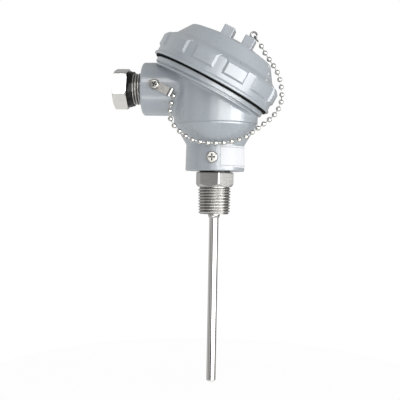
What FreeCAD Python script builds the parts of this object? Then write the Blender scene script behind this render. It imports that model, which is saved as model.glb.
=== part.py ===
import FreeCAD, Part
import math
import os

# Resistance thermometer with a slanted, screw-capped connection head.
# Millimetres. The origin is on the probe axis at the underside of the hexagon,
# where the immersion length is measured from. +Z runs up through the neck,
# the cable entry points along -X, and the cap leans towards +X.

Vector = FreeCAD.Vector
Rotation = FreeCAD.Rotation
Placement = FreeCAD.Placement

UP = Vector(0, 0, 1)
ACROSS = Vector(0, 1, 0)

# Fits and gaps
seat_gap = 0.05            # between pieces that are pressed, welded or screwed together
running_gap = 0.3          # between a turning piece and what it turns in
hidden_overlap = 1.0       # how far a fused form runs into the one that carries it
join_tolerance = 0.0001     # between two shapes that share faces and fillets
past_face = 2.0            # how far a cutting tool runs past the face it cuts

# Probe
sheath_r = 3.0
sheath_wall = 0.55
sheath_end_round = 1.1
immersion_length = 125.0
tip_wall = 1.2
element_gap = 1.35         # between the element and the sheath's bore
element_length = 12.0
element_standoff = 1.0
element_wire_r = 0.2
element_wire_circle = 0.6
lead_share = 0.306         # lead radius over the sheath's bore, so that three fit
lead_gap = 0.45
lead_bend_r = 1.9
seal_depth = 9.0

# Process fitting: half-inch taper pipe thread, hexagon and the thread into the neck
thread_length = 17.4
thread_major_r = 10.67
thread_taper = 1 / 32.0
thread_pitch = 1.814
thread_depth = 1.1
thread_run_out = 1.0
hex_flats = 22.0
hex_height = 9.5
hex_bottom_chamfer = 2.1
hex_top_chamfer = 0.7
hex_turn = -13.1           # degrees from the front to the nearest flat
weld_leg = 0.9
weld_length = 2.6
weld_round = 0.8
neck_thread_r = 9.9
neck_thread_length = 15.0
neck_thread_round = 0.7
sheath_above_hex = 11.0
counterbore_margin = 2.0
counterbore_depth = 3.0    # below the top of the sheath

# Housing, below the slanted joint
neck_clearance = 0.6
neck_bottom_r = 18.9
neck_top_r = 18.6
neck_length = 16.7
neck_edge_chamfer = 0.8
neck_fillet = 1.6
flare_height = 12.3
flare_round = 0.8
shoulder_step = 0.9
shoulder_height = 1.2
body_r = 26.9
body_edge_round = 0.4
body_wall = 3.4
chamber_floor_step = 2.1   # of the chamber's floor in from the neck's outside
chamber_floor_rise = 5.2   # of the chamber's floor above the neck's top
chamber_round = 3.0
passage_r = 7.0
pillar_r = 4.4
pillar_rise = 4.7          # above the bottom of the round body

# Slanted joint between housing and cap
slant_degrees = 27.52
joint_offset = 3.45        # of its centre towards the cable entry
joint_rise = 8.16          # of the flange's lowest edge above the bottom of the round body
gasket_overhang = 1.5
gasket_width = 4.5
gasket_thickness = 1.4
gasket_top = 0.6
gasket_round = 0.3
flange_margin = 3.85       # of the flange past the slanted outline of the body
flange_thickness = 3.0
flange_groove_depth = 0.7
flange_groove_height = 0.9
flange_step = 1.1
flange_step_thickness = 1.2
flange_edge_round = 0.4
flange_fillet = 1.8
collar_height = 11.0
collar_wall = 4.5
collar_lead_in = 0.8
opening_depth = 2.0

# Cap
cap_lip_drop = 0.4         # of the lip's lower edge below the gasket's top
cap_lip_height = 1.3
cap_lip_rise = 1.0
cap_lip_slope = 1.2
cap_ring_wall = 4.7
cap_ring_rise = 3.6        # of the ring's top above the collar
cap_ring_round = 1.4
cap_bore_rise = 2.0        # of the bore's end above the collar
cap_shoulder_step = 5.3
cap_shoulder_rise = 3.6
cap_shoulder_round = 1.6
cap_cone_run = 6.3
cap_cone_rise = 9.2
cap_brow_round = 1.8
cap_brow_run = 11.9
cap_brow_rise = 2.7
cap_crown_round = 25.0
cap_crown_rise = 0.4
cap_top_wall = 3.2
cap_cone_wall = 3.4
pad_count = 12
pad_rise = 1.1
pad_face_width = 11.8
pad_bevel = 1.05
pad_height = 9.8
pad_top_rise = 0.8         # above the ring's top
first_pad_degrees = -8.0
lug_width = 7.3
lug_depth = 12.0
lug_height = 7.1
lug_round = 0.6
left_lug_x = -5.9
right_lug_x = 8.9

# Cable entry boss and compression gland, measured along the entry axis
entry_drop = 3.57          # of the entry axis below the middle of the slanted joint
boss_wall = 6.5
boss_reach = 20.25         # past the round body
boss_edge_round = 1.5
boss_fillet = 2.5
entry_shoulder_depth = 0.4
entry_passage_r = 6.2
gland_thread_r = 10.2
gland_thread_lead_in = 0.8
grommet_length = 6.0
grommet_hole_r = 4.0
grommet_gap = 0.15
gland_washer_thickness = 1.0
gland_travel = 5.442
gland_o_ring_gap = 5.85    # between the boss and the sealing ring
gland_o_ring_width = 3.7
gland_o_ring_section = 1.4
gland_o_ring_round = 0.5
gland_hex_length = 9.0
gland_hex_flats = 24.0
gland_hex_chamfer = 1.0
gland_hole_r = 6.0
gland_mouth_chamfer = 1.2
gland_hex_turn = 10.6      # degrees above the front to the nearest flat

# Terminal block
block_gap = 3.0            # between the block and the chamber's wall
block_base_height = 6.0
block_hole_r = 4.0
block_screw_inset = 4.0    # from the block's edge to the middle of its screws
block_rib_height = 6.5
block_rib_width = 2.0
block_rib_start = 6.0
block_edge_round = 0.8
terminal_x = 11.0
terminal_y = 6.8
terminal_size = 7.0
terminal_depth = 6.0
terminal_height = 6.0
terminal_wire_height = 2.8
terminal_wire_gap = 0.2
terminal_screw_r = 1.5
terminal_head_r = 2.4
terminal_head_height = 1.6
terminal_head_round = 0.4
lead_straight = 2.6        # of a lead in front of its terminal
lead_grip = 2.4            # of a lead inside its terminal
slot_width = 0.7
slot_depth = 0.8

# Fasteners
block_screw_r = 1.9
block_head_r = 3.4
block_head_height = 2.4
block_washer_r = 3.9
block_washer_thickness = 0.8
block_screw_grip = 7.0
neck_screw_x = -0.3
neck_screw_rise = 8.3
neck_screw_r = 1.9
neck_screw_standoff = 1.45 # between the screw's end and the thread in the neck
neck_head_r = 3.5
neck_head_height = 2.2
spot_face_depth = 0.45
tab_screw_reach = 10.2     # past the round body
tab_screw_rise = 0.8       # above the entry axis
tab_screw_r = 1.4
tab_screw_grip = 4.5
tab_head_r = 2.8
tab_head_height = 2.0
tab_washer_r = 3.3
tab_washer_thickness = 0.6
hole_end_gap = 1.0         # past the end of a screw in its hole
cross_width = 0.85
cross_share = 1.25         # length of the cross recess over the head's radius
cross_depth = 1.2
head_round = 0.9

# Chain and what holds it
tab_length = 15.6
tab_width = 5.2
tab_thickness = 0.8
tab_behind_screw = 4.6
tab_end_flat = 0.4
tab_slope_degrees = 26.6
tab_roll_r = 1.35
tab_roll_wall = 0.6
tab_hook_shift = 1.0
ball_r = 1.6
ball_pitch = 4.9
link_r = 0.35
link_gap = 0.02
eye_r = 2.0
eye_wire_r = 0.6
eye_shift = 0.4            # of the screw eye from the middle of the lug
eye_shank_r = 0.9
eye_shank_depth = 4.5
eye_collar_r = 1.5
eye_collar_height = 0.5
ring_r = 1.9
ring_wire_r = 0.45

# Label on the neck
label_start_degrees = 15.5
label_end_degrees = 93.0
label_rise = 2.3
label_height = 13.5
label_thickness = 0.2

# Sizes that follow from the ones above
slant = math.radians(slant_degrees)
neck_bottom_z = hex_height + neck_clearance
neck_top_z = neck_bottom_z + neck_length
flare_r = body_r - shoulder_step
flare_top_z = neck_top_z + flare_height
body_bottom_z = flare_top_z + shoulder_height
chamber_r = body_r - body_wall
chamber_floor_r = neck_top_r - chamber_floor_step
chamber_floor_z = neck_top_z + chamber_floor_rise
pillar_top_z = body_bottom_z + pillar_rise
flange_r = (body_r + joint_offset) / math.cos(slant) + flange_margin
flange_step_r = flange_r - flange_step
joint_z = body_bottom_z + flange_r * math.sin(slant) + joint_rise
gasket_outer_r = flange_r + gasket_overhang
gasket_bottom = gasket_top - gasket_thickness
collar_r = gasket_outer_r - gasket_width
opening_r = collar_r - collar_wall
cap_bore_r = collar_r + running_gap
cap_ring_r = cap_bore_r + cap_ring_wall
cap_lip_r = cap_ring_r + cap_lip_rise
cap_shoulder_r = cap_ring_r - cap_shoulder_step
cap_brow_r = cap_shoulder_r - cap_cone_run
cap_crown_r = cap_brow_r - cap_brow_run
cap_ring_top = collar_height + cap_ring_rise
cap_shoulder_height = cap_ring_top + cap_shoulder_rise
cap_brow_height = cap_shoulder_height + cap_cone_rise
cap_crown_height = cap_brow_height + cap_brow_rise
cap_height = cap_crown_height + cap_crown_rise
pad_top = cap_ring_top + pad_top_rise
pad_bottom = pad_top - pad_height
lug_top = cap_height + lug_height
eye_x = right_lug_x + eye_shift
ring_offset = eye_r + ring_r - eye_wire_r - ring_wire_r - seat_gap
entry_z = joint_z - entry_drop
gland_bore_r = gland_thread_r + running_gap
boss_r = gland_bore_r + boss_wall
boss_length = body_r + boss_reach
entry_shoulder = body_r - entry_shoulder_depth
gland_inner_end = entry_shoulder + grommet_length + gland_washer_thickness + gland_travel + seat_gap
gland_o_ring_start = boss_length + gland_o_ring_gap
gland_hex_start = gland_o_ring_start + gland_o_ring_width
gland_outer_end = gland_hex_start + gland_hex_length
sheath_tip_z = -immersion_length
sheath_top_z = hex_height + sheath_above_hex
sheath_bore_r = sheath_r - sheath_wall
element_r = sheath_bore_r - element_gap
fill_bottom_z = sheath_tip_z + tip_wall
fill_top_z = sheath_top_z - seal_depth
lead_start_z = fill_top_z + seal_depth / 2
lead_r = sheath_bore_r * lead_share
lead_circle = sheath_bore_r - lead_r - lead_gap
weld_r = sheath_r + weld_leg
counterbore_r = sheath_r + counterbore_margin
block_r = chamber_r - block_gap
block_screw_y = block_r - block_screw_inset
block_bottom_z = pillar_top_z
block_top_z = block_bottom_z + block_base_height
neck_screw_z = neck_bottom_z + neck_screw_rise
tab_screw_x = -(body_r + tab_screw_reach)
tab_screw_z = entry_z + tab_screw_rise
label_bottom_z = neck_bottom_z + label_rise
label_top_z = label_bottom_z + label_height


def outline(corners):
    """Closes an outline in the XZ plane through (radius, height) or (radius, height, round)."""
    points = [Vector(corner[0], 0, corner[1]) for corner in corners]
    rounds = [corner[2] if len(corner) > 2 else 0.0 for corner in corners]
    starts = []
    ends = []
    arcs = []
    for number, point in enumerate(points):
        before = (points[number - 1] - point).normalize()
        after = (points[(number + 1) % len(points)] - point).normalize()
        half_angle = before.getAngle(after) / 2
        reach = rounds[number] / math.tan(half_angle)
        starts.append(point + before * reach)
        ends.append(point + after * reach)
        if rounds[number] > 0:
            inward = (before + after).normalize()
            middle = point + inward * (rounds[number] / math.sin(half_angle) - rounds[number])
            arcs.append(Part.Arc(starts[number], middle, ends[number]).toShape())
        else:
            arcs.append(None)
    edges = []
    for number in range(len(points)):
        if arcs[number]:
            edges.append(arcs[number])
        following = starts[(number + 1) % len(points)]
        if (following - ends[number]).Length > 1e-6:
            edges.append(Part.LineSegment(ends[number], following).toShape())
    return Part.Wire(edges)


def turned(corners):
    """Turns an outline about +Z."""
    return Part.Face(outline(corners)).revolve(Vector(), UP, 360)


def disc(radius, bottom, top):
    return Part.makeCylinder(radius, top - bottom, Vector(0, 0, bottom), UP)


def tube(outer_r, inner_r, bottom, top):
    return disc(outer_r, bottom, top).cut(disc(inner_r, bottom - past_face, top + past_face))


def block(size, centre):
    """A box of the given size about its centre."""
    corner = centre - size * 0.5
    return Part.makeBox(size.x, size.y, size.z, corner)


def rod(radius, start, end):
    run = end - start
    return Part.makeCylinder(radius, run.Length, start, run)


def fused(first, others):
    return first.multiFuse(others).removeSplitter()


def placed(shape, placement):
    """A copy of a shape, moved from its own frame to the part's frame."""
    moved = shape.copy()
    moved.Placement = placement
    return moved


def hexagon(flats, bottom, top, turn, bottom_chamfer, top_chamfer):
    """A hexagonal bar with its corners turned off at both ends."""
    corner_r = flats / 2 / math.cos(math.radians(30))
    corners = []
    for number in range(6):
        angle = math.radians(-90 + turn + 30 + 60 * number)
        corners.append(Vector(corner_r * math.cos(angle), corner_r * math.sin(angle), bottom))
    bar = Part.Face(Part.makePolygon(corners + corners[:1])).extrude(UP * (top - bottom))
    turned_bar = turned([
        (0, bottom),
        (corner_r - bottom_chamfer, bottom),
        (corner_r, bottom + bottom_chamfer),
        (corner_r, top - top_chamfer),
        (corner_r - 2 * top_chamfer, top),
        (0, top),
    ])
    return bar.common(turned_bar)


def cross_recess(head_r, top):
    """The cutting tool for a cross recess in a screw head."""
    length = head_r * cross_share
    height = cross_depth + past_face
    middle = Vector(0, 0, top - cross_depth + height / 2)
    first = block(Vector(length, cross_width, height), middle)
    second = block(Vector(cross_width, length, height), middle)
    return first.fuse(second)


def pan_screw(shank_r, grip, head_r, head_height):
    """A cross-recessed pan head screw. The underside of the head is at z 0."""
    body = turned([
        (0, -grip),
        (shank_r, -grip),
        (shank_r, 0),
        (head_r, 0),
        (head_r, head_height, head_round),
        (0, head_height),
    ])
    return body.cut(cross_recess(head_r, head_height))


def pipe(points, bend_r, radius):
    """A round wire along straight runs with rounded corners."""
    edges = []
    start = points[0]
    for number in range(1, len(points) - 1):
        corner = points[number]
        before = (points[number - 1] - corner).normalize()
        after = (points[number + 1] - corner).normalize()
        half_angle = before.getAngle(after) / 2
        reach = bend_r / math.tan(half_angle)
        middle = corner + (before + after).normalize() * (bend_r / math.sin(half_angle) - bend_r)
        arc_start = corner + before * reach
        arc_end = corner + after * reach
        edges.append(Part.LineSegment(start, arc_start).toShape())
        edges.append(Part.Arc(arc_start, middle, arc_end).toShape())
        start = arc_end
    edges.append(Part.LineSegment(start, points[-1]).toShape())
    path = Part.Wire(edges)
    section = Part.Wire([Part.makeCircle(radius, points[0], points[1] - points[0])])
    return path.makePipeShell([section], True, False)


# Frames of the slanted cap, the cable entry and the screws that face the front
cap_frame = Placement(Vector(-joint_offset, 0, joint_z), Rotation(ACROSS, slant_degrees))
entry_frame = Placement(Vector(0, 0, entry_z), Rotation(ACROSS, -90))
front_turn = Rotation(Vector(1, 0, 0), 90)


def make_sheath():
    """The closed tube that carries the sensing element."""
    return turned([
        (0, sheath_tip_z),
        (sheath_r, sheath_tip_z, sheath_end_round),
        (sheath_r, sheath_top_z),
        (sheath_bore_r, sheath_top_z),
        (sheath_bore_r, fill_bottom_z),
        (0, fill_bottom_z),
    ])


def element_places(circle):
    """Three places on a small circle, for the element's wires and the leads."""
    angles = [math.radians(30 + 120 * number) for number in range(3)]
    return [Vector(circle * math.cos(angle), circle * math.sin(angle), 0) for angle in angles]


def make_element():
    bottom = fill_bottom_z + element_standoff
    return disc(element_r, bottom, bottom + element_length)


def make_element_wires():
    bottom = fill_bottom_z + element_standoff + element_length + seat_gap
    top = fill_top_z + seal_depth / 3
    return Part.makeCompound([
        rod(element_wire_r, place + UP * bottom, place + UP * top)
        for place in element_places(element_wire_circle)
    ])


def make_fill():
    """Packed insulating powder round the element and its wires."""
    powder = disc(sheath_bore_r - seat_gap, fill_bottom_z + seat_gap, fill_top_z)
    element_bottom = fill_bottom_z + element_standoff - seat_gap
    element_top = element_bottom + element_length + 2 * seat_gap
    powder = powder.cut(disc(element_r + seat_gap, element_bottom, element_top))
    for place in element_places(element_wire_circle):
        start = place + UP * (element_top - seat_gap)
        powder = powder.cut(rod(element_wire_r + seat_gap, start, place + UP * (fill_top_z + past_face)))
    return powder


def make_seal():
    """The potting that closes the sheath and grips the leads."""
    plug = disc(sheath_bore_r - seat_gap, fill_top_z + seat_gap, sheath_top_z)
    hole_top = UP * (sheath_top_z + past_face)
    for place in element_places(lead_circle):
        plug = plug.cut(rod(lead_r + seat_gap, place + UP * (lead_start_z - seat_gap), place + hole_top))
    wire_top = fill_top_z + seal_depth / 3 + seat_gap
    for place in element_places(element_wire_circle):
        plug = plug.cut(rod(element_wire_r + seat_gap, place + UP * fill_top_z, place + UP * wire_top))
    return plug


def make_lead(number, side_x, side_y):
    """One insulated lead from the seal up through the neck to its terminal."""
    start = element_places(lead_circle)[number]
    wire_z = block_top_z + terminal_wire_height
    before_terminal = terminal_x - terminal_size / 2 - lead_straight
    in_terminal = terminal_x - terminal_size / 2 + lead_grip
    points = [
        start + UP * lead_start_z,
        start + UP * wire_z,
        Vector(side_x * before_terminal, side_y * terminal_y, wire_z),
        Vector(side_x * in_terminal, side_y * terminal_y, wire_z),
    ]
    return pipe(points, lead_bend_r, lead_r)


def make_process_fitting():
    """Taper pipe thread, hexagon and neck thread turned from one bar."""
    tip_z = -thread_length
    corners = [(0, tip_z - weld_length)]
    corners.append((sheath_r + seat_gap, tip_z - weld_length))
    corners.append((weld_r, tip_z, weld_round))
    end_r = thread_major_r - thread_length * thread_taper
    corners.append((end_r - thread_depth, tip_z))
    turns = int((thread_length - thread_run_out) / thread_pitch)
    for number in range(turns):
        root_z = tip_z + thread_pitch * (number + 0.35)
        crest_z = root_z + thread_pitch / 2
        crest_r = thread_major_r + crest_z * thread_taper
        root_r = thread_major_r + root_z * thread_taper - thread_depth
        corners.append((root_r, root_z))
        corners.append((crest_r, crest_z - thread_pitch / 14))
        corners.append((crest_r, crest_z + thread_pitch / 14))
    corners.append((thread_major_r - thread_depth, -thread_run_out))
    corners.append((thread_major_r - thread_depth, hidden_overlap))
    corners.append((0, hidden_overlap))
    lower = turned(corners)
    bar = hexagon(hex_flats, 0, hex_height, hex_turn, hex_bottom_chamfer, hex_top_chamfer)
    top_z = hex_height + neck_thread_length
    upper = turned([
        (0, hex_height - hidden_overlap),
        (neck_thread_r, hex_height - hidden_overlap),
        (neck_thread_r, top_z, neck_thread_round),
        (0, top_z),
    ])
    solid = fused(bar, [lower, upper])
    solid = solid.cut(disc(sheath_r + seat_gap, tip_z - weld_length - past_face, top_z + past_face))
    return solid.cut(disc(counterbore_r, sheath_top_z - counterbore_depth, top_z + past_face))


def make_barrel():
    """The turned outside of the neck, the flare and the round body."""
    body_top_z = joint_z + flange_r
    return turned([
        (0, neck_bottom_z),
        (neck_bottom_r, neck_bottom_z, neck_edge_chamfer),
        (neck_top_r, neck_top_z, neck_fillet),
        (flare_r, flare_top_z, flare_round),
        (flare_r, body_bottom_z, body_edge_round * 0.7),
        (body_r, body_bottom_z, body_edge_round),
        (body_r, body_top_z),
        (0, body_top_z),
    ])


def above_joint():
    """Everything above the middle of the flange, as a cutting tool."""
    cut_height = gasket_bottom - flange_thickness / 2
    return placed(disc(2 * flange_r, cut_height, cut_height + 4 * flange_r), cap_frame)


def make_barrel_with_boss():
    """The barrel with the cable entry boss and the fillet between them."""
    boss = placed(turned([
        (0, 0),
        (boss_r, 0),
        (boss_r, boss_length, boss_edge_round),
        (0, boss_length),
    ]), entry_frame)
    whole = fused(make_barrel(), [boss])
    junction = [edge for edge in whole.Edges if is_boss_junction(edge)]
    return whole.makeFillet(boss_fillet, junction).cut(above_joint())


def make_barrel_with_flange():
    """The barrel with the slanted flange and the fillet under it."""
    whole = fused(make_barrel().cut(above_joint()), [make_flange()])
    junction = [edge for edge in whole.Edges if is_flange_junction(edge)]
    return whole.makeFillet(flange_fillet, junction)


def is_boss_junction(edge):
    """True for the edge where the boss meets the round body."""
    middle = edge.valueAt((edge.FirstParameter + edge.LastParameter) / 2)
    from_axis = math.hypot(middle.x, middle.y)
    from_entry = math.hypot(middle.y, middle.z - entry_z)
    return abs(from_axis - body_r) < 0.01 and abs(from_entry - boss_r) < 0.01


def make_flange():
    """The slanted flange with its gasket face and the grooved edge."""
    top = gasket_bottom
    groove_top = top - flange_thickness
    groove_bottom = groove_top - flange_groove_height
    step_bottom = groove_bottom - flange_step_thickness
    return placed(turned([
        (0, step_bottom),
        (flange_step_r, step_bottom, flange_edge_round),
        (flange_step_r, groove_bottom, flange_edge_round),
        (flange_step_r - flange_groove_depth, groove_bottom),
        (flange_step_r - flange_groove_depth, groove_top),
        (flange_r, groove_top, flange_edge_round),
        (flange_r, top, flange_edge_round),
        (0, top),
    ]), cap_frame)


def make_collar():
    """The ring above the flange that the cap screws onto."""
    return placed(turned([
        (opening_r, gasket_bottom - hidden_overlap),
        (collar_r, gasket_bottom - hidden_overlap),
        (collar_r, collar_height - collar_lead_in),
        (collar_r - collar_lead_in, collar_height),
        (opening_r, collar_height, collar_lead_in),
    ]), cap_frame)


def make_chamber():
    """The hollow of the casting, from the neck passage to the slanted opening."""
    tool_top = joint_z + flange_r
    hollow = turned([
        (0, chamber_floor_z),
        (chamber_floor_r, chamber_floor_z, chamber_round),
        (chamber_r, body_bottom_z, chamber_round),
        (chamber_r, tool_top),
        (0, tool_top),
    ])
    opening_bottom = gasket_bottom - opening_depth
    opening = placed(disc(opening_r, opening_bottom, collar_height + past_face), cap_frame)
    return hollow.fuse(opening)


def make_pillars():
    """The two screw pillars that carry the terminal block."""
    pillars = []
    foot_z = chamber_floor_z - hidden_overlap
    for side in (-1, 1):
        place = Vector(0, side * block_screw_y, 0)
        pillars.append(rod(pillar_r, place + UP * foot_z, place + UP * pillar_top_z))
    return pillars


def make_housing():
    """The cast housing: neck, flare, body, cable entry boss, flange and collar."""
    shell = make_barrel_with_flange().multiFuse([make_barrel_with_boss()], join_tolerance).removeSplitter()
    pillars = [pillar.common(shell) for pillar in make_pillars()]
    solid = shell.cut(make_chamber())
    solid = fused(solid, [make_collar()] + pillars)
    solid = solid.cut(disc(passage_r, neck_bottom_z, flare_top_z))
    neck_bore_top = hex_height + neck_thread_length + hole_end_gap
    solid = solid.cut(disc(neck_thread_r + seat_gap, neck_bottom_z - past_face, neck_bore_top))
    entry_bore = disc(gland_bore_r, entry_shoulder, boss_length + past_face)
    entry_passage = disc(entry_passage_r, chamber_r / 2, entry_shoulder + past_face)
    solid = solid.cut(placed(entry_bore.fuse(entry_passage), entry_frame))
    for side in (-1, 1):
        place = Vector(0, side * block_screw_y, 0)
        top = pillar_top_z + past_face
        bottom = pillar_top_z - block_screw_grip - hole_end_gap
        solid = solid.cut(rod(block_screw_r + seat_gap, place + UP * bottom, place + UP * top))
    return solid.cut(front_screw_tools())


def is_flange_junction(edge):
    """True for the edge where the round body runs into the flange's underside."""
    if edge.Curve.TypeId != "Part::GeomEllipse":
        return False
    middle = edge.valueAt((edge.FirstParameter + edge.LastParameter) / 2)
    local = cap_frame.inverse().multVec(middle)
    step_bottom = gasket_bottom - flange_thickness - flange_groove_height - flange_step_thickness
    return abs(local.z - step_bottom) < 0.01


def neck_r_at(height):
    """The neck's outer radius at a height, from its slight draft."""
    share = (height - neck_bottom_z) / (neck_top_z - neck_bottom_z)
    return neck_bottom_r + share * (neck_top_r - neck_bottom_r)


def neck_seat_y():
    return -(neck_r_at(neck_screw_z) - spot_face_depth)


def tab_seat_y():
    return -(boss_r + seat_gap)


def neck_screw_grip():
    return -neck_seat_y() - neck_thread_r - neck_screw_standoff


def front_screw_tools():
    """The seat and holes for the two screws that face the front."""
    neck_hole_end = -neck_screw_grip() - hole_end_gap
    neck_tool = disc(neck_screw_r + seat_gap, neck_hole_end, past_face)
    neck_tool = neck_tool.fuse(disc(neck_head_r + running_gap, 0, past_face))
    tab_tool = disc(tab_screw_r + seat_gap, -tab_screw_grip - hole_end_gap, past_face)
    neck_place = Placement(Vector(neck_screw_x, neck_seat_y(), neck_screw_z), front_turn)
    tab_place = Placement(Vector(tab_screw_x, tab_seat_y(), tab_screw_z), front_turn)
    return placed(neck_tool, neck_place).fuse(placed(tab_tool, tab_place))


def make_gasket():
    """The flat rubber ring between the flange and the cap."""
    return placed(turned([
        (collar_r + running_gap, gasket_bottom + seat_gap),
        (gasket_outer_r, gasket_bottom + seat_gap, gasket_round),
        (gasket_outer_r, gasket_top - seat_gap, gasket_round),
        (collar_r + running_gap, gasket_top - seat_gap),
    ]), cap_frame)


def make_cap_bowl():
    """The turned form of the cap, hollow inside."""
    cone = math.atan2(cap_cone_rise, cap_cone_run)
    inward = cap_cone_wall / math.sin(cone)
    inner_top = cap_height - cap_top_wall
    lip_bottom = gasket_top - cap_lip_drop
    lip_top = lip_bottom + cap_lip_height
    return turned([
        (gasket_outer_r + running_gap, gasket_top),
        (gasket_outer_r + running_gap, lip_bottom),
        (cap_lip_r, lip_bottom, cap_lip_height / 3),
        (cap_lip_r, lip_top, cap_lip_height / 3),
        (cap_ring_r, lip_top + cap_lip_slope, cap_lip_slope / 2),
        (cap_ring_r, cap_ring_top, cap_ring_round),
        (cap_shoulder_r, cap_shoulder_height, cap_shoulder_round),
        (cap_brow_r, cap_brow_height, cap_brow_round),
        (cap_crown_r, cap_crown_height, cap_crown_round),
        (0, cap_height),
        (0, inner_top),
        (cap_crown_r, inner_top - cap_crown_rise),
        (cap_brow_r - inward, cap_brow_height - cap_top_wall, cap_brow_round),
        (cap_shoulder_r - inward, cap_shoulder_height - cap_lip_slope, cap_shoulder_round),
        (cap_bore_r, collar_height + cap_bore_rise, cap_ring_round / 2),
        (cap_bore_r, gasket_top),
    ])


def make_pad():
    """One raised grip pad, at the front of the ring, with bevelled edges."""
    face_r = cap_ring_r + pad_rise
    root_r = cap_ring_r - hidden_overlap
    band = turned([
        (root_r, pad_bottom),
        (cap_ring_r, pad_bottom),
        (face_r, pad_bottom + pad_rise),
        (face_r, pad_top - 2 * pad_rise),
        (cap_ring_r - pad_rise / 2, pad_top),
        (root_r, pad_top),
    ])
    face_half = pad_face_width / 2
    slope = pad_bevel / pad_rise
    reach_in = face_r - root_r + hidden_overlap
    root_half = face_half + slope * reach_in
    tip_half = face_half - slope * hidden_overlap
    wedge = Part.Face(Part.makePolygon([
        Vector(-root_half, -(face_r - reach_in), pad_bottom),
        Vector(-tip_half, -(face_r + hidden_overlap), pad_bottom),
        Vector(tip_half, -(face_r + hidden_overlap), pad_bottom),
        Vector(root_half, -(face_r - reach_in), pad_bottom),
        Vector(-root_half, -(face_r - reach_in), pad_bottom),
    ])).extrude(UP * (pad_top - pad_bottom))
    return band.common(wedge)


def make_lug(lug_x):
    """One wrench lug on the crown of the cap."""
    bottom = cap_crown_height - cap_top_wall / 2
    centre = Vector(lug_x, 0, (bottom + lug_top) / 2)
    lug = block(Vector(lug_width, lug_depth, lug_top - bottom), centre)
    soft_edges = [edge for edge in lug.Edges if edge.CenterOfMass.z > bottom + lug_round]
    return lug.makeFillet(lug_round, soft_edges)


def make_cap():
    """The cast screw cap: bowl, ring of grip pads and two wrench lugs."""
    pads = []
    for number in range(pad_count):
        pad = make_pad()
        pad.rotate(Vector(), UP, first_pad_degrees + number * 360 / pad_count)
        pads.append(pad)
    lugs = [make_lug(left_lug_x), make_lug(right_lug_x)]
    cap = fused(make_cap_bowl(), pads + lugs)
    eye_hole_end = lug_top - eye_shank_depth - hole_end_gap
    eye_hole = disc(eye_shank_r + seat_gap, eye_hole_end, lug_top + past_face)
    eye_hole.translate(Vector(eye_x, 0, 0))
    return placed(cap.cut(eye_hole), cap_frame)


def make_chain_eye():
    """The screw eye in the right lug."""
    eye_centre = Vector(eye_x, 0, lug_top + eye_collar_height + eye_r)
    eye = Part.makeTorus(eye_r, eye_wire_r, eye_centre, ACROSS)
    foot = disc(eye_collar_r, lug_top, lug_top + eye_collar_height)
    shank = disc(eye_shank_r, lug_top - eye_shank_depth, lug_top + eye_collar_height)
    foot.translate(Vector(eye_x, 0, 0))
    shank.translate(Vector(eye_x, 0, 0))
    return placed(fused(eye, [foot, shank]), cap_frame)


def eye_centre():
    return cap_frame.multVec(Vector(eye_x, 0, lug_top + eye_collar_height + eye_r))


def ring_direction():
    """From the eye towards the first ball of the chain."""
    return (chain_route()[0] - eye_centre()).normalize()


def make_chain_ring():
    """The small ring that links the chain to the screw eye."""
    centre = eye_centre() + ring_direction() * ring_offset
    normal = ring_direction().cross(ACROSS)
    return Part.makeTorus(ring_r, ring_wire_r, centre, normal)


def make_gland_nut():
    """The hollow gland screw with its hexagon."""
    chamfer = gland_hex_chamfer
    head = hexagon(gland_hex_flats, gland_hex_start, gland_outer_end, 0, chamfer, chamfer)
    head.rotate(Vector(), UP, 90 + gland_hex_turn)
    shank = turned([
        (0, gland_inner_end),
        (gland_thread_r, gland_inner_end, gland_thread_lead_in),
        (gland_thread_r, gland_hex_start + hidden_overlap),
        (0, gland_hex_start + hidden_overlap),
    ])
    nut = fused(head, [shank])
    mouth = turned([
        (0, gland_outer_end - gland_mouth_chamfer),
        (gland_hole_r, gland_outer_end - gland_mouth_chamfer),
        (gland_hole_r + gland_mouth_chamfer + past_face, gland_outer_end + past_face),
        (0, gland_outer_end + past_face),
    ])
    nut = nut.cut(disc(gland_hole_r, gland_inner_end - past_face, gland_outer_end + past_face))
    return placed(nut.cut(mouth), entry_frame)


def make_gland_o_ring():
    """The rubber sealing ring behind the gland's hexagon."""
    inner_r = gland_thread_r + running_gap
    outer_r = gland_thread_r + gland_o_ring_section
    return placed(turned([
        (inner_r, gland_o_ring_start),
        (outer_r, gland_o_ring_start, gland_o_ring_round),
        (outer_r, gland_hex_start - seat_gap, gland_o_ring_round),
        (inner_r, gland_hex_start - seat_gap),
    ]), entry_frame)


def make_gland_grommet():
    """The rubber bush that seals round the cable."""
    end = entry_shoulder + grommet_length
    return placed(tube(gland_bore_r - grommet_gap, grommet_hole_r, entry_shoulder, end), entry_frame)


def make_gland_washer():
    """The metal washer between the gland screw and the grommet."""
    start = entry_shoulder + grommet_length
    end = start + gland_washer_thickness
    return placed(tube(gland_bore_r - grommet_gap, entry_passage_r, start, end), entry_frame)


def terminal_places():
    return [
        Vector(side_x * terminal_x, side_y * terminal_y, block_top_z)
        for side_x in (-1, 1) for side_y in (-1, 1)
    ]


def make_terminal_block():
    """The round ceramic block with a rib between the terminals on each side."""
    base = turned([
        (block_hole_r, block_bottom_z),
        (block_r, block_bottom_z, block_edge_round),
        (block_r, block_top_z, block_edge_round),
        (block_hole_r, block_top_z),
    ])
    ribs = []
    for side in (-1, 1):
        start = side * block_rib_start
        end = side * (block_r - block_rib_width)
        size = Vector(abs(end - start), block_rib_width, block_rib_height + hidden_overlap)
        centre = Vector((start + end) / 2, 0, block_top_z + (block_rib_height - hidden_overlap) / 2)
        ribs.append(block(size, centre))
    solid = fused(base, ribs)
    for side in (-1, 1):
        place = Vector(0, side * block_screw_y, 0)
        bottom = place + UP * (block_bottom_z - past_face)
        solid = solid.cut(rod(block_screw_r + running_gap, bottom, place + UP * (block_top_z + past_face)))
    return solid


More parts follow.
